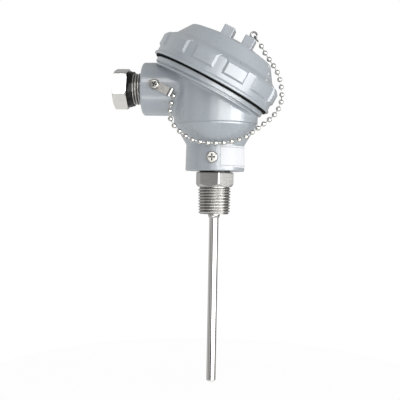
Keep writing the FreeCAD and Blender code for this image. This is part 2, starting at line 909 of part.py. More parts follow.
def make_terminals():
    """Four brass clamps, each with a hole for the wire and one for its screw."""
    clamps = []
    for place in terminal_places():
        size = Vector(terminal_size, terminal_depth, terminal_height)
        clamp = block(size, place + UP * (terminal_height / 2))
        wire_place = place + UP * terminal_wire_height
        run = Vector(terminal_size, 0, 0)
        clamp = clamp.cut(rod(lead_r + terminal_wire_gap, wire_place - run, wire_place + run))
        top = place + UP * (terminal_height + past_face)
        middle = place + UP * (terminal_wire_height + lead_r)
        clamp = clamp.cut(rod(terminal_screw_r + seat_gap, middle, top))
        clamps.append(clamp)
    return Part.makeCompound(clamps)


def make_terminal_screws():
    """The slotted clamping screws of the terminals."""
    screws = []
    for place in terminal_places():
        foot = terminal_wire_height + lead_r + terminal_wire_gap
        top = terminal_height + terminal_head_height
        screw = turned([
            (0, foot),
            (terminal_screw_r, foot),
            (terminal_screw_r, terminal_height),
            (terminal_head_r, terminal_height),
            (terminal_head_r, top, terminal_head_round),
            (0, top),
        ])
        slot_size = Vector(3 * terminal_head_r, slot_width, 2 * slot_depth)
        screw = screw.cut(block(slot_size, Vector(0, 0, top)))
        screw.translate(place)
        screws.append(screw)
    return Part.makeCompound(screws)


def block_screw_places():
    return [Vector(0, side * block_screw_y, block_top_z) for side in (-1, 1)]


def make_block_screws():
    screws = []
    for place in block_screw_places():
        grip = block_washer_thickness + block_base_height + block_screw_grip
        screw = pan_screw(block_screw_r, grip, block_head_r, block_head_height)
        screw.translate(place + UP * block_washer_thickness)
        screws.append(screw)
    return Part.makeCompound(screws)


def make_block_washers():
    washers = []
    for place in block_screw_places():
        washer = tube(block_washer_r, block_screw_r + seat_gap, 0, block_washer_thickness)
        washer.translate(place)
        washers.append(washer)
    return Part.makeCompound(washers)


def make_neck_screw():
    screw = pan_screw(neck_screw_r, neck_screw_grip(), neck_head_r, neck_head_height)
    return placed(screw, Placement(Vector(neck_screw_x, neck_seat_y(), neck_screw_z), front_turn))


def tab_place(lift):
    """The frame of the chain tab: +Z out of its face, +X along the strip."""
    level = Rotation(ACROSS, tab_slope_degrees)
    seat = Vector(tab_screw_x, tab_seat_y() - lift, tab_screw_z)
    return Placement(seat, level.multiply(front_turn))


def make_chain_tab():
    """The strip under the tab screw, with its end rolled round the chain."""
    strip = Part.makeBox(tab_length, tab_width, tab_thickness, Vector(-tab_behind_screw, -tab_width / 2, 0))
    corners = [edge for edge in strip.Edges if abs(edge.tangentAt(0).z) > 0.5 and edge.CenterOfMass.x < 0]
    strip = strip.makeFillet((tab_width - tab_end_flat) / 2, corners)
    end_x = tab_length - tab_behind_screw
    roll_centre = Vector(end_x, -tab_width / 2, tab_roll_r)
    roll_end = roll_centre + Vector(0, tab_width, 0)
    roll = rod(tab_roll_r, roll_centre, roll_end)
    tab = fused(strip, [roll])
    tab = tab.cut(rod(tab_roll_r - tab_roll_wall, roll_centre - ACROSS, roll_end + ACROSS))
    tab = tab.cut(disc(tab_screw_r + seat_gap, -past_face, past_face))
    return placed(tab, tab_place(0))


def make_tab_washer():
    washer = tube(tab_washer_r, tab_screw_r + seat_gap, 0, tab_washer_thickness)
    return placed(washer, tab_place(tab_thickness))


def make_tab_screw():
    grip = tab_screw_grip + tab_thickness + tab_washer_thickness
    screw = pan_screw(tab_screw_r, grip, tab_head_r, tab_head_height)
    return placed(screw, tab_place(tab_thickness + tab_washer_thickness))


def beside_cap(out, front, up):
    """A point in shares of the cap: out past its axis, to the front, and up its height."""
    return cap_frame.multVec(Vector(out * cap_lip_r, -front * cap_lip_r, up * cap_height))


def round_body(degrees, out, up):
    """A point round the housing: degrees right of the front, shares of its radius and joint height."""
    angle = math.radians(degrees)
    reach = out * body_r
    return Vector(reach * math.sin(angle), -reach * math.cos(angle), up * joint_z)


def chain_route():
    """Points chosen by hand along the chain, from the cap's lug to the boss tab."""
    return [
        beside_cap(0.414, 0.012, 1.184),
        beside_cap(0.624, 0.019, 1.013),
        beside_cap(0.824, 0.029, 0.859),
        beside_cap(0.985, 0.043, 0.633),
        beside_cap(1.097, 0.077, 0.367),
        beside_cap(1.112, 0.157, 0.059),
        round_body(71.4, 1.224, 0.605),
        round_body(59.2, 1.052, 0.521),
        round_body(47.1, 0.944, 0.460),
        round_body(32.7, 0.866, 0.429),
        round_body(12.4, 0.811, 0.408),
        round_body(-11.7, 0.828, 0.409),
        round_body(-30.9, 0.919, 0.436),
        round_body(-45.1, 1.070, 0.510),
        round_body(-53.2, 1.230, 0.628),
        round_body(-53.7, 1.223, 0.768),
        tab_hook(),
    ]


def make_link(start, end):
    """One ball of the chain with its link, which stops just short of the next ball."""
    run = (end - start).normalize()
    neck_z = math.sqrt(ball_r ** 2 - link_r ** 2)
    link_end = (end - start).Length - ball_r - link_gap
    ball = Part.Arc(Vector(0, 0, -ball_r), Vector(ball_r, 0, 0), Vector(link_r, 0, neck_z))
    sides = Part.makePolygon([
        Vector(link_r, 0, neck_z),
        Vector(link_r, 0, link_end),
        Vector(0, 0, link_end),
        Vector(0, 0, -ball_r),
    ])
    face = Part.Face(Part.Wire([ball.toShape()] + sides.Edges))
    link = face.revolve(Vector(), UP, 360)
    return placed(link, Placement(start, Rotation(UP, run)))


def make_chain():
    """The ball chain, its balls evenly spaced along the route."""
    curve = Part.BSplineCurve()
    curve.interpolate(chain_route())
    length = curve.length()
    count = int(round(length / ball_pitch))
    spacing = length / count
    centres = [curve.value(curve.parameterAtDistance(spacing * number)) for number in range(count + 1)]
    links = [make_link(start, end) for start, end in zip(centres[:-1], centres[1:])]
    links.append(Part.makeSphere(ball_r, centres[-1]))
    ring_gap = ring_offset + ring_r + ring_wire_r + seat_gap
    first_end = centres[0] - ring_direction() * (ball_r + link_gap)
    links.append(rod(link_r, eye_centre() + ring_direction() * ring_gap, first_end))
    return Part.makeCompound(links)


def tab_hook():
    """The middle of the last ball, which the rolled end of the tab holds."""
    end_x = tab_length - tab_behind_screw
    reach = end_x + tab_roll_r + ball_r + seat_gap
    return tab_place(0).multVec(Vector(reach, -tab_hook_shift, tab_roll_r))


def make_label():
    """The plain label that wraps part of the neck."""
    inner_bottom = neck_r_at(label_bottom_z) + seat_gap
    inner_top = neck_r_at(label_top_z) + seat_gap
    face = Part.Face(Part.makePolygon([
        Vector(inner_bottom, 0, label_bottom_z),
        Vector(inner_bottom + label_thickness, 0, label_bottom_z),
        Vector(inner_top + label_thickness, 0, label_top_z),
        Vector(inner_top, 0, label_top_z),
        Vector(inner_bottom, 0, label_bottom_z),
    ]))
    face.rotate(Vector(), UP, -90 + label_start_degrees)
    return face.revolve(Vector(), UP, label_end_degrees - label_start_degrees)


nodes = {
    "housing": make_housing,
    "cap": make_cap,
    "cap_gasket": make_gasket,
    "process_fitting": make_process_fitting,
    "sheath": make_sheath,
    "sensing_element": make_element,
    "element_wires": make_element_wires,
    "sheath_fill": make_fill,
    "lead_seal": make_seal,
    "lead_wire_a": lambda: make_lead(0, 1, 1),
    "lead_wire_b": lambda: make_lead(1, -1, 1),
    "lead_wire_c": lambda: make_lead(2, 1, -1),
    "terminal_block": make_terminal_block,
    "terminals": make_terminals,
    "terminal_screws": make_terminal_screws,
    "block_screws": make_block_screws,
    "block_washers": make_block_washers,
    "gland_nut": make_gland_nut,
    "gland_o_ring": make_gland_o_ring,
    "gland_grommet": make_gland_grommet,
    "gland_washer": make_gland_washer,
    "cap_chain": make_chain,
    "chain_ring": make_chain_ring,
    "chain_eye": make_chain_eye,
    "chain_tab": make_chain_tab,
    "tab_washer": make_tab_washer,
    "tab_screw": make_tab_screw,
    "neck_screw": make_neck_screw,
    "label": make_label,
}

os.makedirs("parts", exist_ok=True)
for name, make in nodes.items():
    shape = make()
    shape.exportStep("parts/" + name + ".step")
    box = shape.BoundBox
    print(name, "solids", len(shape.Solids), "valid", shape.isValid(), "volume", round(shape.Volume, 1))
    print("   ", [round(value, 2) for value in (box.XMin, box.YMin, box.ZMin, box.XMax, box.YMax, box.ZMax)])
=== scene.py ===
"""Looks for a resistance thermometer with a slanted, screw-capped connection head."""

import math

import bmesh
import bpy
from mathutils import Matrix, Vector


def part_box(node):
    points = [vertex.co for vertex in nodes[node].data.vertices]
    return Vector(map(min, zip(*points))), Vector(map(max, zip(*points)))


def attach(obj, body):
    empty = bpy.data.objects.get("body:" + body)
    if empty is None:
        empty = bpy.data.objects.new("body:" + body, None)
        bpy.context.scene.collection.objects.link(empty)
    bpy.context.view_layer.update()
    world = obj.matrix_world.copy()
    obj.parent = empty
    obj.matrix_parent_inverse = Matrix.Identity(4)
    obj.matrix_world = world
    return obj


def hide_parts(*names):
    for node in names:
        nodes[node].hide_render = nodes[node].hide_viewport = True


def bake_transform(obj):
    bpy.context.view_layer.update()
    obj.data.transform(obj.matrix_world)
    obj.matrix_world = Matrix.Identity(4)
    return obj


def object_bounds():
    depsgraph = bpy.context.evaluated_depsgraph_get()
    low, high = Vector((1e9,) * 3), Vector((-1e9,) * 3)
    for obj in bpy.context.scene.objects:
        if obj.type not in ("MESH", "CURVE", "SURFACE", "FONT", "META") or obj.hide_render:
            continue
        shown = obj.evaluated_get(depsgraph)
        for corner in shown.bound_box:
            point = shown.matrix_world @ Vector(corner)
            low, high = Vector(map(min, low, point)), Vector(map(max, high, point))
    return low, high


MM = 0.001
COLUMNS = 96               # vertices round each turned piece, a multiple of six
GAP = 0.05                 # between pieces that touch, as in the solids
EDGE = 0.01                # how near the end of a thread still counts as its end
MERGE = 0.002              # points nearer than this become one
MERGE_FINE = 0.001         # the same for the solids' meshes, and for edges without length

# Threads: the pitch in millimetres, and the rest as shares of it or of the depth
THREAD_PITCH = 1.814
THREAD_SHAPE = (0.0, 0.08, 0.36, 0.64, 0.92, 1.0, 0.92, 0.64, 0.36, 0.08)
THREAD_FADE = 0.6          # over which an end rises from the root to full depth
THREAD_TIP_FADE = 0.3      # the same at the tip of the process fitting
SPARE_TURNS = 3            # beyond the two ends, where the rows are pressed flat

# Process fitting, from the same sizes as its solid
THREAD_LENGTH = 17.4
THREAD_MAJOR_R = 10.67
THREAD_TAPER = 1 / 32
THREAD_DEPTH = 1.1
THREAD_TOP = -0.3          # where the last crest has faded out, just under the hexagon
HEX_FLATS = 22.0
HEX_HEIGHT = 9.5
HEX_TURN = -13.1
HEX_BOTTOM_CHAMFER = 2.1
HEX_TOP_CHAMFER = 0.7
HEX_CORNER_EASE = 0.12     # taken off a hexagon's upright corners
HEX_TOP_SLOPE = 0.5        # a hexagon's top chamfer drops by this share of its run
NECK_THREAD_R = 9.9
NECK_THREAD_TOP = 24.5
NECK_THREAD_CHAMFER = 0.5
SHEATH_R = 3.0
WELD_R = 3.9
WELD_LENGTH = 2.6
WELD_STEPS = (1.0, 0.85, 0.65, 0.45, 0.25, 0.1, 0.0)
COUNTERBORE_R = 5.0
COUNTERBORE_Z = 17.5

# Gland screw, measured along the entry axis
ENTRY_Z = 62.48
GLAND_INNER_END = 38.99
GLAND_THREAD_R = 10.2
GLAND_THREAD_DEPTH = 0.75
GLAND_HEX_START = 56.7
GLAND_HEX_LENGTH = 9.0
GLAND_HEX_FLATS = 24.0
GLAND_HEX_CHAMFER = 1.0
GLAND_HEX_TURN = 10.6
GLAND_HOLE_R = 6.0
GLAND_MOUTH_CHAMFER = 1.2

# Sealing ring behind the gland's hexagon
SEAL_START = 53.0
SEAL_INNER_R = 10.5
SEAL_OUTER_R = 11.6
SEAL_SECTIONS = 20
SEAL_SQUARENESS = 0.6      # an ellipse at 1, and squarer below it
SEAL_WAVE = 0.22
SEAL_FOLD = 0.40
SEAL_INSET = 0.45          # how far in the wrinkled outside lies on average

# Chain
BALL_R = 1.6
BALL_OPEN = 24             # degrees from each pole to where the ball's wall starts
BALL_BANDS = 14
BALL_SIDES = 16
BALL_FIT_ROUNDS = 30
LIP_R = 0.62
LIP_PLACE = 0.96           # as a share of the ball's radius
LIP_EDGE_RISE = 0.06
LIP_EDGE_RUN = 0.08
LINK_R = 0.35
LINK_WAIST = 0.86          # the middle of a link as a share of its ends
LINK_SIDES = 10
LINK_SINK = 0.9            # a link's ends as a share of the ball's radius from its centre
RING_R = 1.9
RING_WIRE_R = 0.45

# Label
RULE_INSET = 1.0
RULE_HALF = 0.14

# Finishes
NOISE_LOW, NOISE_HIGH = 0.3, 0.7    # between which most of a noise's values lie
GLOSS_FINENESS = 4.3       # how much finer a surface's gloss varies than its colour
OPEN_FULLY_SHADED = 0.45          # the share of open surroundings at which painted corner shade is darkest
# the share of open surroundings above which painted corner shade is gone
OPEN_UNSHADED = 0.92
# the near-black mixed into a metal's colour as painted shade
PAINTED_SHADE_COLOUR = (0.02, 0.02, 0.02, 1)

# Camera, fitted to the photograph
CAMERA_PLACE = Vector((42.99, -503.68, -2.75)) * MM
CAMERA_AZIMUTH = 5.916
CAMERA_DOWN = 0.663
CAMERA_ROLL = 1.071
CAMERA_LENS = 70.69
SENSOR_WIDTH = 36

# Studio, in metres and degrees. Azimuth 0 is in front, and 90 to the right
LIGHT_TARGET = Vector((0, 0, 0.05))
GLOSS_DISTANCE = 1.2
FLOOR_R = 0.15
FLOOR_DROP = 0.0005
FLOOR_GLOW = 0.95          # the share of plain white in what the camera sees of the floor
LEVEL_BY_AZIMUTH = {
    -180: 0.35, -125: 0.70, -85: 0.70, -68: 0.18, -56: 0.60, -34: 0.66, -26: 0.12, -8: 0.14,
    5: 0.50, 60: 0.70, 85: 0.80, 110: 0.35, 180: 0.35,
}
LEVEL_BELOW = 0.9
BELOW_START, BELOW_FULL = -0.35, -0.55    # a direction's Z where what lies below takes over
SHED_BELOW, SHED_ABOVE = 1.25, 0.72       # the light that the world sheds from straight below and above

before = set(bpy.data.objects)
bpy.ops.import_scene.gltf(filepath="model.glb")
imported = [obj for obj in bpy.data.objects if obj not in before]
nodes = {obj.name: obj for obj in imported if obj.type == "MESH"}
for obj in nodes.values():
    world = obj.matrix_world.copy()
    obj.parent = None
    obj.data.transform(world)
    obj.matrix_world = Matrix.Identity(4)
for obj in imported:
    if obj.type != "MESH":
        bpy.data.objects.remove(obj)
solid_low, solid_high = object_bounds()
scene = bpy.context.scene


# Shader nodes

def feed(tree, socket, value):
    """Links another node's output to a socket, or sets the socket to a plain value."""
    if isinstance(value, bpy.types.NodeSocket):
        tree.links.new(value, socket)
    else:
        socket.default_value = value


def add(tree, kind, **inputs):
    """Adds a node and feeds its inputs by name."""
    node = tree.nodes.new(kind)
    for key, value in inputs.items():
        feed(tree, node.inputs[key.replace("_", " ")], value)
    return node


def math_step(tree, operation, *values):
    node = tree.nodes.new("ShaderNodeMath")
    node.operation = operation
    for socket, value in zip(node.inputs, values):
        feed(tree, socket, value)
    return node.outputs["Value"]


def vector_step(tree, operation, *values):
    node = tree.nodes.new("ShaderNodeVectorMath")
    node.operation = operation
    for socket, value in zip(node.inputs, values):
        feed(tree, socket, value)
    return node.outputs["Value" if operation in ("LENGTH", "DOT_PRODUCT") else "Vector"]


def mixed(tree, factor, first, second, kind="FLOAT"):
    """A mix of two numbers or colours, all of the first at a factor of 0."""
    node = tree.nodes.new("ShaderNodeMix")
    node.data_type = kind
    for name, value in (("Factor", factor), ("A", first), ("B", second)):
        feed(tree, node.inputs[name], value)
    return node.outputs["Result"]


def mixed_shaders(tree, factor, first, second):
    node = tree.nodes.new("ShaderNodeMixShader")
    for socket, value in zip(node.inputs, (factor, first, second)):
        feed(tree, socket, value)
    return node.outputs["Shader"]


def mapped(tree, value, from_low, from_high, low, high):
    """Maps a value from one range of numbers to another, held at both ends."""
    node = add(tree, "ShaderNodeMapRange", Value=value, From_Min=from_low, From_Max=from_high,
               To_Min=low, To_Max=high)
    return node.outputs["Result"]


def object_coordinates(tree, scale=(1, 1, 1), shift=(0, 0, 0)):
    """The shaded point in the part's frame, in metres, scaled and then shifted."""
    coordinates = tree.nodes.new("ShaderNodeTexCoord")
    node = add(tree, "ShaderNodeMapping", Vector=coordinates.outputs["Object"],
               Scale=scale, Location=shift)
    return node.outputs["Vector"]


def split_coordinates(tree, name):
    """The X, Y and Z of one of the texture coordinates."""
    coordinates = tree.nodes.new("ShaderNodeTexCoord")
    return add(tree, "ShaderNodeSeparateXYZ", Vector=coordinates.outputs[name]).outputs


def noise(tree, vector, scale, detail=3.0):
    node = add(tree, "ShaderNodeTexNoise", Vector=vector, Scale=scale, Detail=detail, Roughness=0.55)
    return node.outputs["Fac"]


def ramp(tree, value, stops):
    """A colour ramp from a list of places and colours."""
    node = add(tree, "ShaderNodeValToRGB", Fac=value)
    elements = node.color_ramp.elements
    while len(elements) < len(stops):
        elements.new(0.5)
    for element, (place, colour) in zip(elements, stops):
        element.position = place
        element.color = (*colour, 1)
    return node.outputs["Color"]


def bump(tree, height, distance, normal=None):
    node = add(tree, "ShaderNodeBump", Height=height, Distance=distance * MM, Strength=1.0)
    if normal:
        feed(tree, node.inputs["Normal"], normal)
    return node.outputs["Normal"]


# Materials

def new_material(name):
    material = bpy.data.materials.new(name)
    material.use_nodes = True
    return material


def shader_of(material):
    return material.node_tree.nodes["Principled BSDF"]


def shaded(name, low_colour, high_colour, colour_scale, roughness, grains,
           metallic=0.0, stretch=(1, 1, 1)):
    """A surface whose colour and roughness vary gently, with one or more grains of bump.

    Each grain is a noise's scale and its height in millimetres.
    """
    material = new_material(name)
    tree, shader = material.node_tree, shader_of(material)
    vector = object_coordinates(tree, stretch)
    stops = [(NOISE_LOW, low_colour), (NOISE_HIGH, high_colour)]
    feed(tree, shader.inputs["Base Color"], ramp(tree, noise(tree, vector, colour_scale), stops))
    fine = noise(tree, vector, colour_scale * GLOSS_FINENESS)
    feed(tree, shader.inputs["Roughness"], mapped(tree, fine, NOISE_LOW, NOISE_HIGH, *roughness))
    shader.inputs["Metallic"].default_value = metallic
    normal = None
    for scale, distance in grains:
        normal = bump(tree, noise(tree, vector, scale, 2.0), distance, normal)
    feed(tree, shader.inputs["Normal"], normal)
    return material


def metal(name, low_colour, high_colour, colour_scale, roughness, grain, stretch=(1, 1, 1)):
    """A metal. A small stretch draws its tool lines out along that axis."""
    return shaded(name, low_colour, high_colour, colour_scale, roughness, [grain], 1.0, stretch)


def rubber(name, low_colour, high_colour, roughness, grain, specular=0.5):
    material = shaded(name, low_colour, high_colour, 200, roughness, [grain])
    shader_of(material).inputs["Specular IOR Level"].default_value = specular
    return material


def make_paint():
    """Grey enamel over a die casting: a slight orange peel under a soft gloss."""
    material = shaded("housing_paint", (0.318, 0.352, 0.382), (0.336, 0.370, 0.400), 45,
                      (0.26, 0.34), [(900, 0.008), (160, 0.012)])
    shader = shader_of(material)
    shader.inputs["Coat Weight"].default_value = 0.8
    shader.inputs["Coat Roughness"].default_value = 0.16
    return material


def paint_shade(material, value, shaded_level, unshaded_level, dark):
    """Paints shade into a metal's colour, down to dark as a value goes from its unshaded to its shaded
    level.
    """
    tree = material.node_tree
    socket = shader_of(material).inputs["Base Color"]
    colour = socket.links[0].from_socket
    shade = mapped(tree, value, shaded_level, unshaded_level, dark, 1.0)
    feed(tree, socket, mixed(tree, shade, PAINTED_SHADE_COLOUR, colour, "RGBA"))
    return material


def paint_corner_shade(material, reach, dark):
    """Paints shade into the tight corners of a small metal piece, from how open its surroundings are."""
    corners = add(material.node_tree, "ShaderNodeAmbientOcclusion", Distance=reach * MM)
    corners.samples = 8
    return paint_shade(material, corners.outputs["AO"], OPEN_FULLY_SHADED, OPEN_UNSHADED, dark)


def place_in_millimetres(tree, centre):
    """The shaded point in the part's frame, measured in millimetres from a centre."""
    return object_coordinates(tree, (1 / MM, 1 / MM, 1 / MM), [-value for value in centre])


def thread_radius(tree, centre, across, taper=(0, 0, 0)):
    """Distance from a thread's axis, less what its taper adds there."""
    place = place_in_millimetres(tree, centre)
    radius = vector_step(tree, "LENGTH", vector_step(tree, "MULTIPLY", place, across))
    return math_step(tree, "SUBTRACT", radius, vector_step(tree, "DOT_PRODUCT", place, taper))


def make_turned_steel():
    """The hexagon's steel, with painted shade over its last millimetre, where the narrow gap below the
    neck falls dark.
    """
    material = metal("turned_steel", (0.43, 0.42, 0.41), (0.51, 0.50, 0.48), 120,
                     (0.16, 0.22), (700, 0.003), (1, 1, 9))
    tree = material.node_tree
    height = vector_step(tree, "DOT_PRODUCT", place_in_millimetres(tree, (0, 0, 0)), (0, 0, 1))
    return paint_shade(material, height, HEX_HEIGHT - 0.2, HEX_HEIGHT - 1.1, 0.0)


def make_cut_steel():
    """The pipe thread's steel, with painted shade in its grooves."""
    material = metal("cut_steel", (0.50, 0.49, 0.47), (0.58, 0.57, 0.55), 120,
                     (0.24, 0.32), (700, 0.003))
    radius = thread_radius(material.node_tree, (0, 0, 0), (1, 1, 0), (0, 0, THREAD_TAPER))
    root = THREAD_MAJOR_R - THREAD_DEPTH
    return paint_shade(material, radius, root, root + 0.7 * THREAD_DEPTH, 0.42)


def make_cut_nickel():
    """The gland thread's nickel, with painted shade in its grooves."""
    material = metal("cut_nickel", (0.50, 0.48, 0.46), (0.60, 0.58, 0.56), 120,
                     (0.26, 0.34), (700, 0.006))
    radius = thread_radius(material.node_tree, (0, 0, ENTRY_Z), (0, 1, 1))
    root = GLAND_THREAD_R - GLAND_THREAD_DEPTH
    return paint_shade(material, radius, root, root + 0.8 * GLAND_THREAD_DEPTH, 0.05)


def make_label_film():
    """White film with a thin grey rule near its lower and upper edges."""
    material = new_material("label_film")
    tree, shader = material.node_tree, shader_of(material)
    height = split_coordinates(tree, "Object")["Z"]
    low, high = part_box("label")
    rules = [
        math_step(tree, "COMPARE", height, place, RULE_HALF * MM)
        for place in (low.z + RULE_INSET * MM, high.z - RULE_INSET * MM)
    ]
    either = math_step(tree, "MAXIMUM", *rules)
    colour = ramp(tree, either, [(0.4, (0.67, 0.68, 0.70)), (0.6, (0.25, 0.26, 0.28))])
    feed(tree, shader.inputs["Base Color"], colour)
    grain = noise(tree, object_coordinates(tree), 260)
    feed(tree, shader.inputs["Roughness"], mapped(tree, grain, NOISE_LOW, NOISE_HIGH, 0.50, 0.60))
    feed(tree, shader.inputs["Normal"], bump(tree, grain, 0.01))
    shader.inputs["Specular IOR Level"].default_value = 0.3
    return material


def make_metals():
    """The plain metals by their own names."""
    chain = metal("chain_nickel", (0.46, 0.45, 0.43), (0.58, 0.57, 0.54), 220, (0.10, 0.18), (700, 0.004))
    eye = metal("eye_steel", (0.15, 0.145, 0.14), (0.26, 0.255, 0.25), 260, (0.18, 0.30), (700, 0.004))
    screw = metal("screw_nickel", (0.44, 0.43, 0.40), (0.52, 0.51, 0.48), 150, (0.14, 0.24), (500, 0.003))
    return {
        # Chain, eye and screws get painted shade in their tight corners and at the joints between parts
        "chain": paint_corner_shade(chain, 0.9, 0.05),
        "eye": paint_corner_shade(eye, 0.9, 0.0),
        "screw": paint_corner_shade(screw, 1.6, 0.0),
        "nickel": metal("nickel_plate", (0.66, 0.65, 0.62), (0.74, 0.73, 0.70), 150,
                        (0.12, 0.20), (500, 0.003)),
        "tab": metal("tab_nickel", (0.34, 0.33, 0.32), (0.42, 0.41, 0.39), 150,
                     (0.20, 0.30), (500, 0.003)),
        "drawn": metal("drawn_steel", (0.56, 0.55, 0.53), (0.66, 0.65, 0.63), 120,
                       (0.05, 0.09), (700, 0.0004), (9, 9, 0.3)),
        "brass": metal("brass", (0.62, 0.43, 0.16), (0.72, 0.52, 0.22), 120,
                       (0.22, 0.34), (700, 0.006), (4, 1, 1)),
    }


def make_materials():
    """Every finish, by the node that carries it and by the scene's own pieces."""
    paint = make_paint()
    metals = make_metals()
    nickel, screw = metals["nickel"], metals["screw"]
    ceramic = shaded("white_ceramic", (0.72, 0.70, 0.65), (0.80, 0.78, 0.73), 90,
                     (0.30, 0.42), [(300, 0.02)])
    red = shaded("lead_red", (0.45, 0.02, 0.015), (0.55, 0.03, 0.02), 120,
                 (0.32, 0.42), [(300, 0.02)])
    white = shaded("lead_white", (0.72, 0.72, 0.70), (0.80, 0.80, 0.78), 120,
                   (0.32, 0.42), [(300, 0.02)])
    by_node = {
        "housing": paint, "cap": paint, "sheath": metals["drawn"], "label": make_label_film(),
        "chain_tab": metals["tab"], "chain_eye": metals["eye"], "chain_ring": metals["eye"],
        "neck_screw": screw, "tab_screw": screw, "tab_washer": screw,
        "gland_washer": nickel, "terminal_screws": nickel, "block_screws": nickel,
        "block_washers": nickel, "element_wires": nickel, "terminals": metals["brass"],
        "terminal_block": ceramic, "sensing_element": ceramic,
        "lead_wire_a": red, "lead_wire_b": white, "lead_wire_c": red,
        "cap_gasket": rubber("gasket_rubber", (0.002, 0.002, 0.002), (0.004, 0.004, 0.004),
                             (0.70, 0.80), (420, 0.03), 0.1),
        "gland_grommet": rubber("black_rubber", (0.006, 0.006, 0.007), (0.014, 0.014, 0.015),
                                (0.46, 0.62), (420, 0.03)),
        "sheath_fill": shaded("oxide_powder", (0.62, 0.61, 0.58), (0.80, 0.79, 0.76), 900,
                              (0.85, 0.95), [(1500, 0.08)]),
        "lead_seal": shaded("potting", (0.05, 0.045, 0.04), (0.08, 0.07, 0.06), 150,
                            (0.30, 0.45), [(260, 0.05)]),
    }
    by_piece = {
        "fitting": make_turned_steel(), "fitting_thread": make_cut_steel(), "gland": nickel,
        "gland_thread": make_cut_nickel(), "chain": metals["chain"],
        "gland_ring": rubber("seal_rubber", (0.002, 0.002, 0.002), (0.005, 0.005, 0.005),
                             (0.24, 0.34), (900, 0.14), 0.2),
    }
    return by_node, by_piece


def dress_nodes(by_node):
    for name, material in by_node.items():
        data = nodes[name].data
        data.materials.clear()
        data.materials.append(material)


# Turned forms: every form is a stack of rings with COLUMNS points each

def column_angles():
    return [2 * math.pi * number / COLUMNS for number in range(COLUMNS)]


def ring(bm, points):
    """One ring of (radius, height) points, one for each column, in millimetres."""
    vertices = []
    for angle, (radius, height) in zip(column_angles(), points):
        place = Vector((radius * math.cos(angle), radius * math.sin(angle), height)) * MM
        vertices.append(bm.verts.new(place))
    return vertices


def even(radius, height):
    return [(radius, height)] * COLUMNS


def skin(bm, rings, closed=False):
    """Joins neighbouring rings with faces."""
    pairs = list(zip(rings[:-1], rings[1:]))
    if closed:
        pairs.append((rings[-1], rings[0]))
    for lower, upper in pairs:
        for number in range(COLUMNS):
            after = (number + 1) % COLUMNS
            bm.faces.new((lower[number], lower[after], upper[after], upper[number]))


def thread(bm, bottom, top, crest_radius, depth, bottom_fade=THREAD_FADE):
    """A helical thread between two heights. Its rows follow the helix, so that crests stay crisp."""
    rows = len(THREAD_SHAPE)
    turns = int((top - bottom) / THREAD_PITCH) + SPARE_TURNS
    columns = []
    for number, angle in enumerate(column_angles()):
        column = []
        for row in range(turns * rows + 1):
            height = bottom + THREAD_PITCH * (row / rows - SPARE_TURNS / 2 + number / COLUMNS)
            height = min(max(height, bottom), top)
            bottom_rise = (height - bottom) / (bottom_fade * THREAD_PITCH)
            top_rise = (top - height) / (THREAD_FADE * THREAD_PITCH)
            fade = min(1.0, bottom_rise, top_rise)
            radius = crest_radius(height) - depth * (1 - THREAD_SHAPE[row % rows] * fade)
            place = (radius * math.cos(angle), radius * math.sin(angle), height)
            column.append(bm.verts.new(Vector(place) * MM))
        columns.append(column)
    for number in range(COLUMNS):
        after = (number + 1) % COLUMNS
        shift = rows if after == 0 else 0
        for row in range(turns * rows - shift):
            here, there = columns[number], columns[after]
            corners = (here[row], there[row + shift], there[row + 1 + shift], here[row + 1])
            bm.faces.new(corners)


def hexagon_rings(bm, flats, bottom, top, corner_degrees, bottom_chamfer, top_run):
    """The outside of a hexagon whose corners are eased, and turned off at both ends."""
    corner_r = flats / 2 / math.cos(math.radians(30))
    low_r = corner_r - bottom_chamfer
    high_r = corner_r - top_run
    under, lower, upper, over = [], [], [], []
    for angle in column_angles():
        off_flat = (math.degrees(angle) - corner_degrees) % 60 - 30
        radius = flats / 2 / math.cos(math.radians(off_flat))
        radius = min(radius, corner_r - HEX_CORNER_EASE)
        under.append((min(radius, low_r), bottom))
        lower.append((radius, bottom + max(0.0, radius - low_r)))
        upper.append((radius, top - max(0.0, radius - high_r) * HEX_TOP_SLOPE))
        over.append((min(radius, high_r), top))
    return [ring(bm, points) for points in (under, lower, upper, over)]


def finished(bm, name, place=Matrix.Identity(4), sharp_degrees=28):
    """Merges what meets, turns the faces outwards and links the mesh as an object."""
    bmesh.ops.remove_doubles(bm, verts=bm.verts, dist=MERGE * MM)
    bmesh.ops.dissolve_degenerate(bm, edges=bm.edges, dist=MERGE_FINE * MM)
    bmesh.ops.recalc_face_normals(bm, faces=bm.faces)
    mesh = bpy.data.meshes.new(name)
    bm.to_mesh(mesh)
    bm.free()
    mesh.transform(place)
    mesh.shade_smooth()
    mesh.set_sharp_from_angle(angle=math.radians(sharp_degrees))
    piece = bpy.data.objects.new(name, mesh)
    scene.collection.objects.link(piece)
    return piece


def dress(piece, body, replaced, material):
    """Gives a piece its material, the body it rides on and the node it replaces."""
    piece.data.materials.append(material)
    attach(piece, body)
    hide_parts(replaced)


def dress_faces(piece, material, chosen):
    """Gives a second material to the faces whose centres, in millimetres, are chosen."""
    piece.data.materials.append(material)
    for polygon in piece.data.polygons:
        if chosen(polygon.center / MM):
            polygon.material_index = 1


def round_thread(piece, chosen):
    """Shades crests and grooves as rounds, where both ends of an edge, in millimetres, are chosen."""
    places = [vertex.co / MM for vertex in piece.data.vertices]
    for edge in piece.data.edges:
        if all(chosen(places[number]) for number in edge.vertices):
            edge.use_edge_sharp = False


